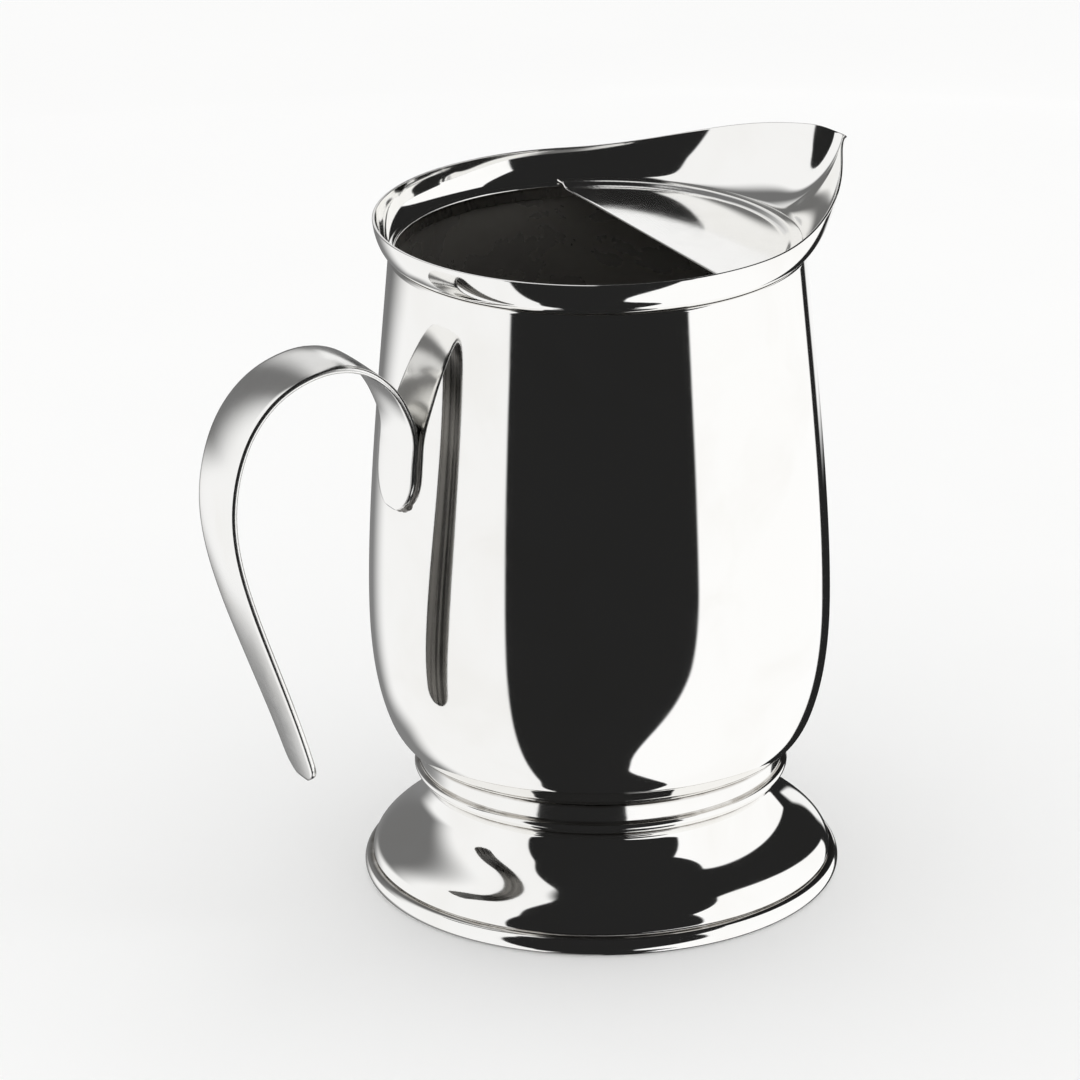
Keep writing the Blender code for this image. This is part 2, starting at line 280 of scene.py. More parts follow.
def rim_wire_profile():
    inner_radius = FOOT_EDGE_RADIUS - 0.0024
    bead = bezier((FOOT_EDGE_RADIUS - 0.0001, RIM_WIRE_TOP), (FOOT_RADIUS + 0.0004, 0.0052),
                  (FOOT_RADIUS + 0.0008, 0.0014), (0.0686, 0.0), 24)
    top = (inner_radius, RIM_WIRE_TOP - 0.0004)
    low = (inner_radius, 0.0)
    return ([top] + softened(top, bead[0], bead[2], 0.0003) + bead[2:-1]
            + softened(bead[-2], bead[-1], low, 0.0002) + [low])


# ---- collar and spout ------------------------------------------------------------------
def rim_at(angle):
    """Radius and height above the crease of the collar's rim, angle 0 at the spout."""
    turn = abs(angle)
    swell = 0.0
    if turn < SPOUT_HALF_ANGLE:
        swell = math.cos(turn / SPOUT_HALF_ANGLE * math.pi / 2)
    point = math.exp(-math.hypot(turn, SPOUT_POINT_ROUND) / SPOUT_POINT_ANGLE)
    radius = RIM_RADIUS + SPOUT_SWELL * swell ** 2 + SPOUT_POINT * point
    lip = LIP_DROP * math.exp(-(turn / LIP_ANGLE) ** 2)
    return radius, RIM_HEIGHT + SPOUT_RISE * swell ** SPOUT_RISE_POWER - lip


def collar_section(angle):
    """Closed outline of the collar's wall at one angle, starting at the rim's outside."""
    crease_z = NECK_Z + GAP
    radius, height = rim_at(angle)
    groove = SPOUT_POINT * math.exp(-math.hypot(angle, SPOUT_POINT_ROUND) / SPOUT_POINT_ANGLE)
    flare = radius - groove - NECK_RADIUS
    straight = WALL_STRAIGHT + SPOUT_STRAIGHT * math.exp(-(angle / SPOUT_STRAIGHT_ANGLE) ** 2)
    outer = []
    for i in range(WALL_STEPS + 1):
        v = 1 - i / WALL_STEPS
        bowl_r = math.sin(v * math.pi / 2)
        bowl_z = 1 - math.cos(v * math.pi / 2)
        outer.append((NECK_RADIUS + flare * (straight * v + (1 - straight) * bowl_r)
                      + groove * v * (2 - v),
                      crease_z + height * (straight * v + (1 - straight) * bowl_z)))
    inner = offset(outer, -COLLAR_SHEET)
    skirt_r = NECK_RADIUS - SHEET - GAP
    skirt_low = crease_z - SKIRT_DEPTH
    ledge_z = crease_z + COLLAR_SHEET
    inside_r = skirt_r - COLLAR_SHEET
    ledge = (inside_r, ledge_z - 0.0002)
    skirt = softened(outer[-1], (skirt_r, crease_z), (skirt_r, skirt_low), 0.0002)
    skirt += softened((skirt_r, crease_z), (skirt_r, skirt_low), (inside_r, skirt_low), 0.0003)
    skirt += softened((skirt_r, skirt_low), (inside_r, skirt_low), ledge, 0.0003)
    skirt += softened((inside_r, skirt_low), ledge, inner[-2], 0.0006)
    wall = inner[-2:0:-1]
    round_off = 0.45 * COLLAR_SHEET
    edge = softened(inner[1], inner[0], outer[0], round_off)
    edge += softened(inner[0], outer[0], outer[1], round_off)
    return outer[1:] + skirt + wall + edge


def spread_angle(turn):
    """Angles round the collar, packed closer together near the spout's point."""
    return turn - COLLAR_CROWDING * math.sin(turn)


# ---- meshes ----------------------------------------------------------------------------
def add_piece(name, vertices, faces, material, node=None, inside=None, inner_faces=()):
    """A mesh that stands for a node; inner_faces, by number, take the inside material."""
    mesh = bpy.data.meshes.new(name)
    mesh.from_pydata(vertices, [], faces)
    for i in inner_faces:
        mesh.polygons[i].material_index = 1
    work = bmesh.new()
    work.from_mesh(mesh)
    bmesh.ops.remove_doubles(work, verts=work.verts, dist=SAME_POINT)
    bmesh.ops.recalc_face_normals(work, faces=work.faces)
    work.to_mesh(mesh)
    work.free()
    mesh.shade_smooth()
    mesh.materials.append(material)
    if inside:
        mesh.materials.append(inside)
    piece = bpy.data.objects.new(name, mesh)
    piece.location = (AXIS_X, 0, 0)
    bpy.context.scene.collection.objects.link(piece)
    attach(piece, "root")
    if node:
        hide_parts(node)
    return piece


def loft(rings, rings_close, outline_closes):
    """Vertices and quads through rings of equal length."""
    count = len(rings[0])
    vertices = [point for ring in rings for point in ring]
    faces = []
    for i in range(len(rings) if rings_close else len(rings) - 1):
        here, there = i * count, (i + 1) % len(rings) * count
        for k in range(count if outline_closes else count - 1):
            n = (k + 1) % count
            faces.append((here + k, here + n, there + n, there + k))
    return vertices, faces


def closed_loft(rings):
    """A loft of closed rings with a cap on each end."""
    vertices, faces = loft(rings, False, True)
    count = len(rings[0])
    caps = [tuple(range(count)), tuple(range(len(vertices) - count, len(vertices)))]
    return vertices, faces + caps


def turned(name, profile, outline_closes, material, node, inside=None, inner_points=0):
    """A profile turned about the axis; its first inner_points points lie on the inside."""
    rings = []
    for i in range(TURN_STEPS):
        angle = 2 * math.pi * i / TURN_STEPS
        rings.append([(r * math.cos(angle), r * math.sin(angle), z) for r, z in profile])
    vertices, faces = loft(rings, True, outline_closes)
    row = len(profile) if outline_closes else len(profile) - 1
    inner_faces = [i for i in range(len(faces)) if i % row < inner_points]
    return add_piece(name, vertices, faces, material, node, inside, inner_faces)


def build_collar(material):
    rings = []
    for i in range(COLLAR_STEPS):
        angle = spread_angle(2 * math.pi * i / COLLAR_STEPS - math.pi)
        rings.append([(r * math.cos(angle), r * math.sin(angle), z)
                      for r, z in collar_section(angle)])
    return add_piece("collar_and_spout", *loft(rings, True, True), material, "spout_collar")


def guard_height(radius):
    """The plate is flat, then joggles up to lie on the collar's ledge."""
    start, end = GUARD_RADIUS - JOGGLE_START, GUARD_RADIUS - JOGGLE_END
    t = min(max((radius - start) / (end - start), 0), 1)
    return GUARD_HIGH.z - GUARD_DROP * (1 - t * t * (3 - 2 * t))


def guard_ring(y):
    """Closed section of the plate along X: top, round side, underside, straight side."""
    edge = GUARD_SHEET / 2
    near = GUARD_EDGE_X + edge
    far = math.sqrt(GUARD_RADIUS ** 2 - y * y) - edge
    top = []
    for k in range(GUARD_COLUMNS):
        x = near + (far - near) * k / (GUARD_COLUMNS - 1)
        top.append((x, y, guard_height(math.hypot(x, y))))
    ring = list(top)
    for end, side in ((far, 1), (near, -1)):
        z = guard_height(math.hypot(end, y)) - edge
        for k in range(1, EDGE_STEPS):
            turn = math.pi * k / EDGE_STEPS
            reach = side * edge
            ring.append((end + reach * math.sin(turn), y, z + reach * math.cos(turn)))
        if side == 1:
            ring += [(x, y, z - GUARD_SHEET) for x, y, z in top[::-1]]
    return ring


def build_guard(material):
    half = math.sqrt(GUARD_RADIUS ** 2 - (GUARD_EDGE_X + GUARD_CORNER) ** 2)
    rings = [guard_ring(half * math.sin((i / (GUARD_ROWS - 1) - 0.5) * math.pi))
             for i in range(GUARD_ROWS)]
    return add_piece("ice_guard_plate", *closed_loft(rings), material, "ice_guard")


# ---- handle ----------------------------------------------------------------------------
def spline(points, steps):
    """A smooth curve through the points, evenly stepped between them."""
    ends = [tuple(2 * a - b for a, b in zip(points[0], points[1]))]
    tail = [tuple(2 * a - b for a, b in zip(points[-1], points[-2]))]
    knots = ends + points + tail
    curve = []
    for p0, p1, p2, p3 in zip(knots, knots[1:], knots[2:], knots[3:]):
        for i in range(steps):
            t = i / steps
            curve.append(tuple(0.5 * (2 * b + (c - a) * t + (2 * a - 5 * b + 4 * c - d) * t * t
                                      + (3 * b - a - 3 * c + d) * t ** 3)
                               for a, b, c, d in zip(p0, p1, p2, p3)))
    return curve + [points[-1]]


def smoothed(points, passes):
    """The points drawn towards their neighbours, with both ends held."""
    for _ in range(passes):
        points = ([points[0]]
                  + [tuple((a + 2 * b + c) / 4 for a, b, c in zip(p, q, r))
                     for p, q, r in zip(points, points[1:], points[2:])]
                  + [points[-1]])
    return points


def strap_route():
    """Centre line of the strap: up the body, over the arch and down to the free end."""
    rise = TONGUE_HIGH_Z - TONGUE_LOW_Z
    lying = []
    for share in (0, 0.08, 0.25, 0.5, 0.75, 1):
        z = TONGUE_LOW_Z + rise * share
        lying.append((-(radius_of_body(z) + GAP + STRAP / 2), z))
    return smoothed(spline(lying + STRAP_ROUTE, ROUTE_STEPS), ROUTE_SMOOTHING)


def route_distances(route):
    """How far along the route each of its points is."""
    distances = [0.0]
    for a, b in zip(route, route[1:]):
        distances.append(distances[-1] + math.dist(a, b))
    return distances


def strap_half_width(from_start, from_end):
    """Half width of the strap, from the distances along it to its two ends."""
    neck = min(max((from_start - WIDEN_START) / WIDEN_LENGTH, 0), 1)
    widening = (STRAP_HALF_WIDTH - TONGUE_HALF_WIDTH) * neck * neck * (3 - 2 * neck)
    taper = min(max((TAPER_LENGTH - from_end) / TAPER_LENGTH, 0), 1)
    width = TONGUE_HALF_WIDTH + widening + (TIP_HALF_WIDTH - STRAP_HALF_WIDTH) * taper * taper
    for distance, round_off in ((from_start, TONGUE_ROUND), (from_end, TIP_ROUND)):
        if distance < round_off:
            width *= math.sqrt(max(1 - (1 - distance / round_off) ** 2, ROUND_FLOOR))
    return width


def strap_ring(x, z, tx, tz, half, thickness, hug):
    """Closed section of the strap: outer face, rounded side, inner face, rounded side."""
    edge = min(STRAP_EDGE, half * 0.6)
    flat = half - edge
    ring = []

    def place(y, lift):
        wrap = BELLY_RADIUS - math.sqrt(BELLY_RADIUS ** 2 - y * y)
        bend = wrap * hug - STRAP_CROWN * (1 - hug) * (y / STRAP_HALF_WIDTH) ** 2
        ring.append((x + tz * (bend - lift), y, z - tx * (bend - lift)))

    for side in (1, -1):
        for k in range(STRAP_COLUMNS):
            place(side * flat * (2 * k / (STRAP_COLUMNS - 1) - 1), side * thickness / 2)
        for k in range(1, EDGE_STEPS):
            turn = math.pi * k / EDGE_STEPS
            place(side * (flat + edge * math.sin(turn)), side * thickness / 2 * math.cos(turn))
    return ring


def build_handle(material, inside):
    route = strap_route()
    distances = route_distances(route)
    rings = []
    for i, ((x, z), from_start) in enumerate(zip(route, distances)):
        from_end = distances[-1] - from_start
        a, b = route[max(i - 1, 0)], route[min(i + 1, len(route) - 1)]
        tx, tz = unit(b[0] - a[0], b[1] - a[1])
        half = strap_half_width(from_start, from_end)
        hug = min(max((HUG_END - from_start) / HUG_LENGTH, 0), 1)
        nearest = min(from_start, from_end)
        thickness = STRAP * math.sqrt(min(1, STRAP_END_FLOOR + nearest / STRAP_END))
        rings.append(strap_ring(x, z, tx, tz, half, thickness, hug))
    vertices, faces = closed_loft(rings)
    count, caps = len(rings[0]), 2
    inner_faces = [i for i in range(len(faces) - caps) if i % count < STRAP_COLUMNS]
    return add_piece("strap_handle", vertices, faces, material, "handle", inside, inner_faces)


def braze_line():
    """The tongue's outline on the body's wall, down the far side and up the near one."""
    route = strap_route()
    distances = route_distances(route)
    side = []
    for (_, z), from_start in zip(route, distances):
        if z > BRAZE_TOP:
            break
        half = strap_half_width(from_start, distances[-1] - from_start)
        side.append((half - BRAZE_INSET, z))
    line = side[::-1] + [(-y, z) for y, z in side]
    return [Vector((-math.sqrt(radius_of_body(z) ** 2 - y * y), y, z)) for y, z in line]


def braze_size(share):
    """Half the bead's thickness, by share of the way along it: lumpy, and fine at its ends."""
    lump = math.exp(-((share - BRAZE_LUMP) / BRAZE_LUMP_LENGTH) ** 2)
    fine, coarse = BRAZE_WAVES
    ripple = 1 + BRAZE_RIPPLE * math.sin(share * fine) * math.sin(share * coarse + 1)
    fade = math.sqrt(min(1, BRAZE_END_FLOOR + BRAZE_END_SLOPE * min(share, 1 - share)))
    return (BRAZE_SIZE + BRAZE_LUMP_SIZE * lump) * ripple * fade


def build_braze_and_gap_shadow(material):
    """The uneven bead of braze between the tongue and the body, near black as a painted shadow of the
    gap under the tongue's edge.
    """
    line = braze_line()
    last = len(line) - 1
    rings = []
    for i, point in enumerate(line):
        along = (line[min(i + 1, last)] - line[max(i - 1, 0)]).normalized()
        out = Vector((point.x, point.y, 0)).normalized()
        across = along.cross(out)
        size = braze_size(i / last)
        ring = []
        for k in range(BRAZE_STEPS):
            turn = 2 * math.pi * k / BRAZE_STEPS
            ring.append(tuple(point + out * (size * math.cos(turn))
                              + across * (size * math.sin(turn))))
        rings.append(ring)
    return add_piece("braze_bead_and_gap_shadow", *closed_loft(rings), material)


# ---- silver ----------------------------------------------------------------------------
class Nodes:
    """Short calls for making and joining the nodes of one tree."""

    def __init__(self, tree):
        self.tree = tree

    def add(self, kind, **settings):
        node = self.tree.nodes.new(kind)
        for key, value in settings.items():
            setattr(node, key, value)
        return node

    def put(self, socket, value):
        if isinstance(value, bpy.types.NodeSocket):
            self.tree.links.new(value, socket)
        else:
            socket.default_value = value

    def math(self, operation, *values):
        node = self.add("ShaderNodeMath", operation=operation)
        for socket, value in zip(node.inputs, values):
            self.put(socket, value)
        return node.outputs[0]

    def ramp(self, value, low, high, out_low=0.0, out_high=1.0):
        """Smooth step of a value from low to high."""
        node = self.add("ShaderNodeMapRange", interpolation_type="SMOOTHSTEP")
        for name, given in (("Value", value), ("From Min", low), ("From Max", high),
                            ("To Min", out_low), ("To Max", out_high)):
            self.put(node.inputs[name], given)
        return node.outputs["Result"]

    def mix(self, share, a, b):
        return self.math("ADD", a, self.math("MULTIPLY", share, self.math("SUBTRACT", b, a)))

    def mix_colour(self, share, a, b):
        node = self.add("ShaderNodeMix", data_type="RGBA")
        self.put(node.inputs[0], share)
        self.put(node.inputs[6], a)
        self.put(node.inputs[7], b)
        return node.outputs[2]

    def noise(self, vector, scale, detail=2.0, distortion=0.0):
        node = self.add("ShaderNodeTexNoise")
        self.put(node.inputs["Vector"], vector)
        node.inputs["Scale"].default_value = scale
        node.inputs["Detail"].default_value = detail
        node.inputs["Distortion"].default_value = distortion
        return node.outputs["Fac"]

    def vector(self, x, y, z):
        node = self.add("ShaderNodeCombineXYZ")
        for socket, value in zip(node.inputs, (x, y, z)):
            self.put(socket, value)
        return node.outputs[0]

    def split(self, vector):
        node = self.add("ShaderNodeSeparateXYZ")
        self.put(node.inputs[0], vector)
        return node.outputs

    def stretched(self, values, scales):
        """A vector of the three values, each times its own scale."""
        return self.vector(*(self.math("MULTIPLY", value, scale)
                             for value, scale in zip(values, scales)))

    def bump(self, height, distance, normal=None):
        node = self.add("ShaderNodeBump")
        node.inputs["Strength"].default_value = 1.0
        node.inputs["Distance"].default_value = distance
        self.put(node.inputs["Height"], height)
        if normal:
            self.put(node.inputs["Normal"], normal)
        return node.outputs[0]


BRIGHT = (0.955, 0.950, 0.935, 1.0)
CLOUDED = (0.915, 0.905, 0.880, 1.0)
TARNISH = (0.34, 0.31, 0.27, 1.0)
STRAP_GRAIN = (45, 2600, 45)        # scale of the buff's lines along X, Y and Z
TURNED_GRAIN = (2.2, 2400, 2400)    # and round the axis, up it and away from it

# slot: roughness, depth of the buff's lines, depth of the waves
FINISHES = {
    "body_silver": (0.045, 0.0000006, 0.00010),
    "waist_silver": (0.07, 0.0000008, 0.00005),
    "foot_silver": (0.05, 0.0000008, 0.00010),
    "rim_silver": (0.07, 0.0000008, 0.00005),
    "collar_silver": (0.05, 0.0000008, 0.00010),
    "guard_silver": (0.09, 0.0000010, 0.00006),
    "handle_silver": (0.17, 0.0000012, 0.00006),
}

# darkest and lightest tone of the silver that the buff does not reach; the strap's tones are painted
# shade, and the braze's dark tone is partly a painted shadow of the gap
INSIDE_TONES = ((0.20, 0.19, 0.175, 1), (0.34, 0.325, 0.30, 1))
# painted shade: these near-black tones darken the strap's inner side under the arch
STRAP_PAINTED_SHADE_TONES = ((0.035, 0.034, 0.032, 1), (0.30, 0.29, 0.275, 1))
# partly painted shadow: the braze's near-black tone stands for the gap under the tongue's edge
BRAZE_AND_GAP_SHADOW_TONES = ((0.035, 0.034, 0.032, 1), (0.45, 0.43, 0.40, 1))
INSIDE_ROUGHNESS = 0.26
STRAP_ROUGHNESS = 0.24
BRAZE_ROUGHNESS = 0.22
BUFFED_ROUGHNESS = 0.15     # of the strap's inner side where it is buffed and bright, out of the painted shade
DULL_SHADED_X, BUFFED_UNSHADED_X = -0.082, -0.070   # the inner side turns from dull silver in painted shade to bright buffed silver between these
STAIN_WIDE, STAIN_MIDDLE, STAIN_THIN = 0.0012, 0.0010, 0.0008   # reach of a seam's tarnish
DULL_SHADE_STREAKS = (6, 420, 6)  # scale of the streaks along the strap, in its roughness and its painted shade
DULL_PITS = 0.000004        # depth of the pits in the dull silver


def blank_material(slot, suffix):
    """A new material, its node calls, its shader and the point being shaded."""
    material = bpy.data.materials.new(slot + suffix)
    material["slot"] = slot
    material.use_nodes = True
    n = Nodes(material.node_tree)
    shader = material.node_tree.nodes["Principled BSDF"]
    return material, n, shader, n.add("ShaderNodeTexCoord").outputs["Object"]


def buff_lines(n, place, along_strap):
    """Fine lines round a turned piece, or along the strap."""
    x, y, z = n.split(place)
    if along_strap:
        return n.noise(n.stretched((x, y, z), STRAP_GRAIN), 1.0, 4.0)
    turn = n.math("ARCTAN2", y, x)
    radius = n.math("SQRT", n.math("ADD", n.math("MULTIPLY", x, x), n.math("MULTIPLY", y, y)))
    return n.noise(n.stretched((turn, z, radius), TURNED_GRAIN), 1.0, 4.0)


def silver(slot, seams=(), along_strap=False):
    """Polished silver: hairlines from the buff, faint waves, smears, and tarnish in the seams.

    Each seam is the height of a joint and how far the tarnish reaches from it.
    """
    roughness, grain_depth, wave_depth = FINISHES[slot]
    material, n, shader, place = blank_material(slot, "_fine")
    grain = buff_lines(n, place, along_strap)
    clouds = n.noise(place, 32.0, 3.0, 0.6)
    smears = n.noise(place, 95.0, 5.0, 1.2)

    colour = n.mix_colour(n.ramp(clouds, 0.40, 0.75, 0.0, 0.8), BRIGHT, CLOUDED)
    if seams:
        height = n.split(place)[2]
        stain = 0.0
        for seam, reach in seams:
            distance = n.math("ABSOLUTE", n.math("SUBTRACT", height, seam))
            stain = n.math("MAXIMUM", stain, n.ramp(distance, 0.0, reach, 1.0, 0.0))
        patchy = n.math("MULTIPLY", stain, n.ramp(smears, 0.25, 0.70, 0.35, 0.85))
        colour = n.mix_colour(patchy, colour, TARNISH)
    n.put(shader.inputs["Base Color"], colour)
    shader.inputs["Metallic"].default_value = 1.0

    haze = n.math("MULTIPLY", n.ramp(smears, 0.45, 0.80), 0.35 * roughness)
    streaks = n.math("MULTIPLY", n.math("SUBTRACT", grain, 0.5), 0.5 * roughness)
    n.put(shader.inputs["Roughness"], n.math("ADD", roughness, n.math("ADD", haze, streaks)))

    waves = n.bump(n.noise(place, 21.0, 1.0), wave_depth)
    n.put(shader.inputs["Normal"], n.bump(grain, grain_depth, waves))
    return material


def dull_and_shaded_silver(slot, roughness, tones, on_strap=False):
    """Silver the buff does not reach: greyed by air and water, in soft clouds or in streaks; on the
    strap, painted shade darkens the inner side away from the body.
    """
    material, n, shader, place = blank_material(slot, "_inside")
    clouds = n.noise(place, 60.0, 5.0, 0.8)
    if on_strap:
        streaks = n.noise(n.stretched(n.split(place), DULL_SHADE_STREAKS), 1.0, 2.0)
        clouds = n.mix(0.75, clouds, n.ramp(streaks, 0.32, 0.62))
    colour = n.mix_colour(clouds, *tones)
    rough = n.ramp(clouds, 0.2, 0.8, roughness * 0.85, roughness * 1.25)
    if on_strap:
        # painted shade: the strap's inner side darkens away from the body, under the arch, and is
        # bright buffed silver near it
        reach = n.ramp(n.split(place)[0], DULL_SHADED_X, BUFFED_UNSHADED_X, 1.0, 0.0)
        colour = n.mix_colour(reach, BRIGHT, colour)
        rough = n.mix(reach, BUFFED_ROUGHNESS, rough)
    n.put(shader.inputs["Base Color"], colour)
    n.put(shader.inputs["Roughness"], rough)
    shader.inputs["Metallic"].default_value = 1.0 if on_strap else 0.7
    n.put(shader.inputs["Normal"], n.bump(n.noise(place, 900.0, 4.0), DULL_PITS))
    return material


# ---- studio ----------------------------------------------------------------------------
# Angles are in degrees, seen from the middle of the drum: side is measured from the camera's
# direction towards its right, and up from level. A pair is where a bend or a fade starts and ends.
DARK = 0.018
LEFT_WHITE = 0.95
RIGHT_WHITE = 1.03
CAMERA_WHITE = 0.97         # what the camera sees past the floor
FLOOR_LIGHT = 1.08          # what lights the floor
DRUM_RADIUS = 0.78
DRUM_HEIGHT = 3.6           # above and below its middle
DRUM_MIDDLE_Z = 0.10
DRUM_STEPS = 256
PANEL_SOFT = 0.8            # half the width of a panel's soft edge

LEFT_EDGE_LOW, LEFT_EDGE, LEFT_EDGE_HIGH = -56.0, -45.5, -60.0
LEFT_LOW_BEND, LEFT_HIGH_BEND = (-70.0, -58.0), (30.0, 72.0)
LEFT_TOP = (71.0, 75.0)
LEFT_END = -200.0           # past the far side of the drum
FADE_LOW, FADE_MIDDLE, FADE_HIGH = -129.0, -142.0, -114.0
FADE_LOW_BEND, FADE_HIGH_BEND = (-36.0, -28.0), (-15.0, 3.0)
FADE_HALF_WIDTH = 13.0
GREY_LOW, GREY_HIGH = 0.22, 0.17
GREY_BEND = (-20.0, -4.0)
FAR_LIGHT = 0.75            # share of white that comes back beyond the grey
FAR_LIGHT_SIDE, FAR_LIGHT_UP = (-165.0, -145.0), (12.0, 24.0)

RIGHT_EDGE_LOW, RIGHT_EDGE_IN, RIGHT_EDGE = 60.0, 18.0, 48.0
RIGHT_LOW_BEND, RIGHT_IN_BEND = (-66.0, -52.0), (-48.0, -14.0)
RIGHT_LEAN_START, RIGHT_LEAN = 28.0, 1.6
RIGHT_END = 143.0
RIGHT_TOP_NEAR, RIGHT_TOP_FAR = 50.0, -16.0
RIGHT_TOP_SLOPE = (82.0, 166.0)

GLEAM_SIDE, GLEAM_UP = (154.0, 182.0), (-16.0, -6.0)
FAR_SIDE, FAR_UP = (171.0, 175.0), (13.0, 29.0)

FLOOR_REACH = 8.0
FLOOR_STEPS = 64
FLOOR_TONES = ((0.915, 0.915, 0.910, 1), (0.935, 0.935, 0.930, 1))


def within(n, value, low, high, soft):
    """1 between low and high, fading to 0 over a soft edge at each end."""
    rise = n.ramp(value, n.math("SUBTRACT", low, soft), n.math("ADD", low, soft))
    fall = n.ramp(value, n.math("SUBTRACT", high, soft), n.math("ADD", high, soft), 1.0, 0.0)
    return n.math("MULTIPLY", rise, fall)


def left_panel(n, side, up):
    """White panel whose near edge leans over at the top and whose far end fades to grey."""
    low_edge = n.mix(n.ramp(up, *LEFT_LOW_BEND), LEFT_EDGE_LOW, LEFT_EDGE)
    edge = n.mix(n.ramp(up, *LEFT_HIGH_BEND), low_edge, LEFT_EDGE_HIGH)
    shape = n.math("MULTIPLY", within(n, side, LEFT_END, edge, PANEL_SOFT),
                   n.ramp(up, *LEFT_TOP, 1.0, 0.0))
    low_middle = n.mix(n.ramp(up, *FADE_LOW_BEND), FADE_LOW, FADE_MIDDLE)
    middle = n.mix(n.ramp(up, *FADE_HIGH_BEND), low_middle, FADE_HIGH)
    fade = n.ramp(n.math("SUBTRACT", side, middle), -FADE_HALF_WIDTH, FADE_HALF_WIDTH)
    beyond = n.math("MULTIPLY", n.ramp(side, *FAR_LIGHT_SIDE, FAR_LIGHT, 0.0),
                    n.ramp(up, *FAR_LIGHT_UP))
    grey = n.mix(beyond, n.mix(n.ramp(up, *GREY_BEND), GREY_LOW, GREY_HIGH), LEFT_WHITE)
    return shape, n.mix(fade, grey, LEFT_WHITE)


def right_panel(n, side, up):
    """White panel with a near edge that comes in low down, and a top that slopes away."""
    low_edge = n.mix(n.ramp(up, *RIGHT_LOW_BEND), RIGHT_EDGE_LOW,
                     n.mix(n.ramp(up, *RIGHT_IN_BEND), RIGHT_EDGE_IN, RIGHT_EDGE))
    above = n.math("MAXIMUM", n.math("SUBTRACT", up, RIGHT_LEAN_START), 0.0)
    near = n.math("ADD", low_edge, n.math("MULTIPLY", above, RIGHT_LEAN))
    top = n.mix(n.ramp(side, *RIGHT_TOP_SLOPE), RIGHT_TOP_NEAR, RIGHT_TOP_FAR)
    return n.math("MULTIPLY", within(n, side, near, RIGHT_END, PANEL_SOFT),
                  n.ramp(n.math("SUBTRACT", up, top), -1.0, 1.0, 1.0, 0.0))


def panels_and_cards():
    """The drum's own light: two panels, two small patches opposite the camera, dark between."""
    material = bpy.data.materials.new("panels_and_cards")
    material.use_nodes = True
    tree = material.node_tree
    tree.nodes.clear()
    n = Nodes(tree)
    x, y, z = n.split(n.add("ShaderNodeTexCoord").outputs["Object"])
    side = n.math("DEGREES", n.math("ARCTAN2", x, n.math("MULTIPLY", y, -1.0)))
    up = n.math("DEGREES", n.math("ARCTANGENT", n.math("DIVIDE", z, DRUM_RADIUS)))
    left, left_tone = left_panel(n, side, up)
    gleam = n.math("MULTIPLY", within(n, side, *GLEAM_SIDE, 2.0), within(n, up, *GLEAM_UP, 1.5))
    far = n.math("MULTIPLY", n.ramp(n.math("ABSOLUTE", side), *FAR_SIDE),
                 within(n, up, *FAR_UP, 2.0))
    tone = n.mix(left, DARK, left_tone)
    tone = n.mix(right_panel(n, side, up), tone, RIGHT_WHITE)
    tone = n.mix(gleam, tone, LEFT_WHITE)
    tone = n.mix(far, tone, LEFT_WHITE)
    light = n.add("ShaderNodeEmission")
    n.put(light.inputs["Color"], n.vector(tone, tone, tone))
    out = n.add("ShaderNodeOutputMaterial")
    n.put(out.inputs["Surface"], light.outputs[0])
    material.cycles.emission_sampling = "NONE"
    return material


def circle(radius, steps, z):
    return [(radius * math.cos(2 * math.pi * i / steps), radius * math.sin(2 * math.pi * i / steps), z)
            for i in range(steps)]


def studio_object(name, vertices, faces, material):
    mesh = bpy.data.meshes.new(name)
    mesh.from_pydata(vertices, [], faces)
    mesh.materials.append(material)
    made = bpy.data.objects.new(name, mesh)
    bpy.context.scene.collection.objects.link(made)
    return made


def build_drum():
    """White panels and black cards on a drum round the pitcher, seen only in its silver."""
    rings = [circle(DRUM_RADIUS, DRUM_STEPS, z) for z in (-DRUM_HEIGHT, DRUM_HEIGHT)]
    vertices = rings[0] + rings[1]
    faces = [(i, (i + 1) % DRUM_STEPS, DRUM_STEPS + (i + 1) % DRUM_STEPS, DRUM_STEPS + i)
             for i in range(DRUM_STEPS)]
    drum = studio_object("studio_drum", vertices, faces, panels_and_cards())
    drum.location = (AXIS_X, 0, DRUM_MIDDLE_Z)
    drum.rotation_euler = (0, 0, CAMERA_AZIMUTH)
    drum.visible_camera = False
    drum.visible_diffuse = False
    drum.visible_shadow = False


def build_world():
    """Even white light for the floor, and dark overhead for the silver."""
    world = bpy.data.worlds.new("studio")
    bpy.context.scene.world = world
    world.use_nodes = True
    world.cycles.sampling_method = "NONE"
    n = Nodes(world.node_tree)
    background = world.node_tree.nodes["Background"]
    path = n.add("ShaderNodeLightPath")
    tone = n.mix(path.outputs["Is Diffuse Ray"], DARK, FLOOR_LIGHT)
    tone = n.mix(path.outputs["Is Camera Ray"], tone, CAMERA_WHITE)
    n.put(background.inputs["Color"], n.vector(tone, tone, tone))
    background.inputs["Strength"].default_value = 1.0


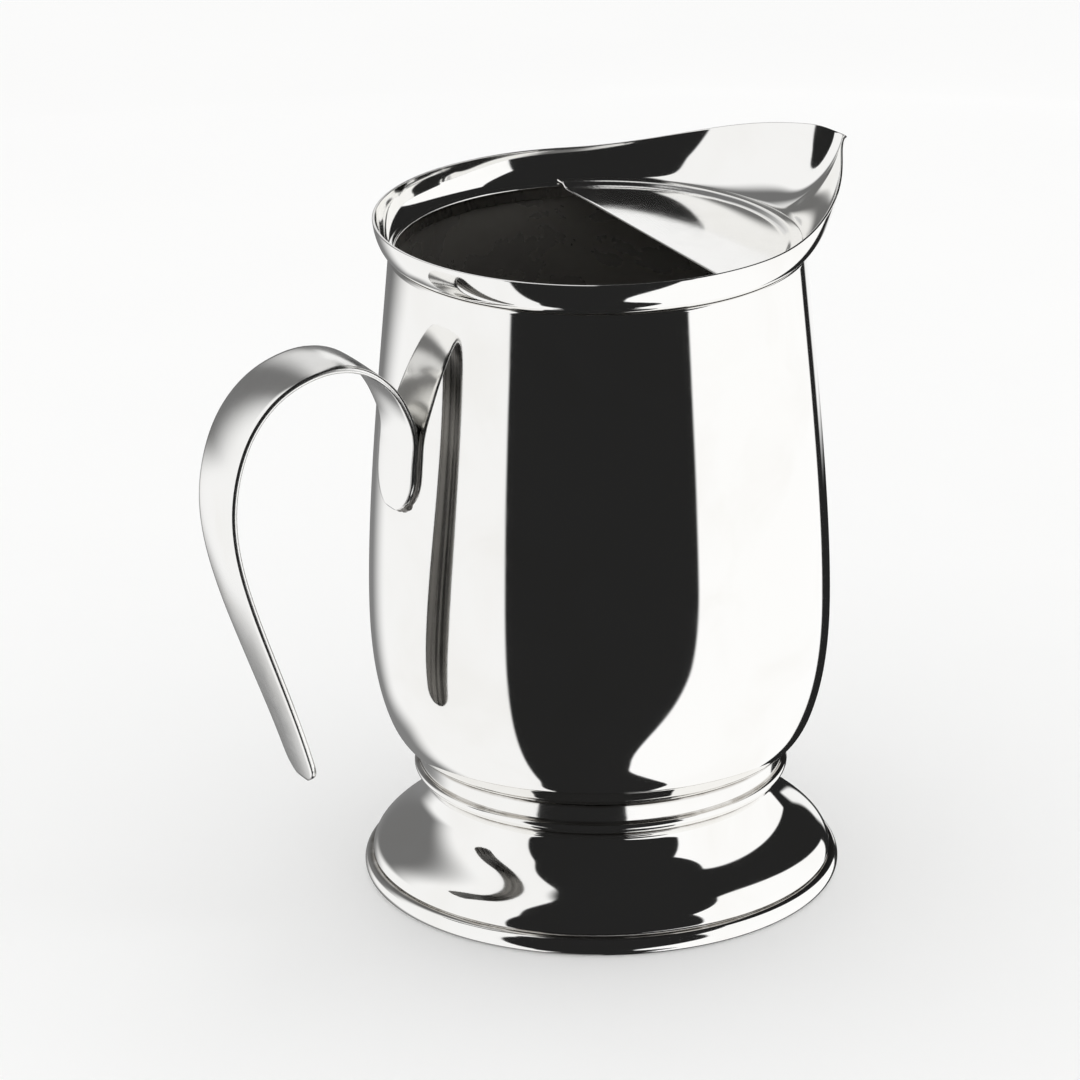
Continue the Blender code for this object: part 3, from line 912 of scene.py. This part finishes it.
def build_floor():
    """A plain pale floor, kept out of the silver's reflections."""
    material = bpy.data.materials.new("pale_floor")
    material.use_nodes = True
    n = Nodes(material.node_tree)
    shader = material.node_tree.nodes["Principled BSDF"]
    fibre = n.noise(n.add("ShaderNodeTexCoord").outputs["Object"], 9.0, 4.0)
    n.put(shader.inputs["Base Color"], n.mix_colour(fibre, *FLOOR_TONES))
    shader.inputs["Roughness"].default_value = 0.9
    floor = studio_object("studio_floor", circle(FLOOR_REACH, FLOOR_STEPS, 0),
                          [tuple(range(FLOOR_STEPS))], material)
    floor.visible_glossy = False


def build_camera():
    data = bpy.data.cameras.new("camera")
    data.lens = CAMERA_LENS
    data.sensor_width = SENSOR_WIDTH
    data.clip_end = VIEW_END
    camera = bpy.data.objects.new("camera", data)
    place = Vector((AXIS_X + CAMERA_DISTANCE * math.sin(CAMERA_AZIMUTH),
                    -CAMERA_DISTANCE * math.cos(CAMERA_AZIMUTH), CAMERA_HEIGHT))
    turn = (Matrix.Rotation(CAMERA_HEADING - math.pi / 2, 4, "Z")
            @ Matrix.Rotation(math.pi / 2 - CAMERA_PITCH, 4, "X")
            @ Matrix.Rotation(CAMERA_ROLL, 4, "Z"))
    camera.matrix_world = Matrix.Translation(place) @ turn
    bpy.context.scene.collection.objects.link(camera)
    bpy.context.scene.camera = camera


def main():
    profile = body_profile()
    turned("body_shell", profile, False, silver("body_silver", ((WAIST_TOP, STAIN_WIDE),)),
           "body", dull_and_shaded_silver("body_silver", INSIDE_ROUGHNESS, INSIDE_TONES),
           len(profile) // 2)
    turned("waist_band", waist_profile(), True,
           silver("waist_silver", ((WAIST_TOP, STAIN_WIDE), (WAIST_Z, STAIN_MIDDLE),
                                   (BAND_Z, STAIN_THIN))), "waist_ring")
    turned("foot_shell", foot_profile(), True,
           silver("foot_silver", ((WAIST_Z, STAIN_WIDE), (RIM_WIRE_TOP, STAIN_THIN))), "foot")
    turned("foot_wire", rim_wire_profile(), True,
           silver("rim_silver", ((RIM_WIRE_TOP, STAIN_THIN),)), "foot_rim")
    build_collar(silver("collar_silver", ((NECK_Z, STAIN_THIN),)))
    build_guard(silver("guard_silver"))
    build_handle(silver("handle_silver", along_strap=True),
                 # the strap's inner side carries painted shade under the arch
                 dull_and_shaded_silver("handle_silver", STRAP_ROUGHNESS, STRAP_PAINTED_SHADE_TONES, on_strap=True))
    # braze bead, partly a painted shadow of the gap under the tongue
    build_braze_and_gap_shadow(dull_and_shaded_silver("handle_silver", BRAZE_ROUGHNESS, BRAZE_AND_GAP_SHADOW_TONES))
    build_drum()
    build_world()
    build_floor()
    build_camera()
    bpy.context.scene.view_settings.view_transform = "Standard"


main()
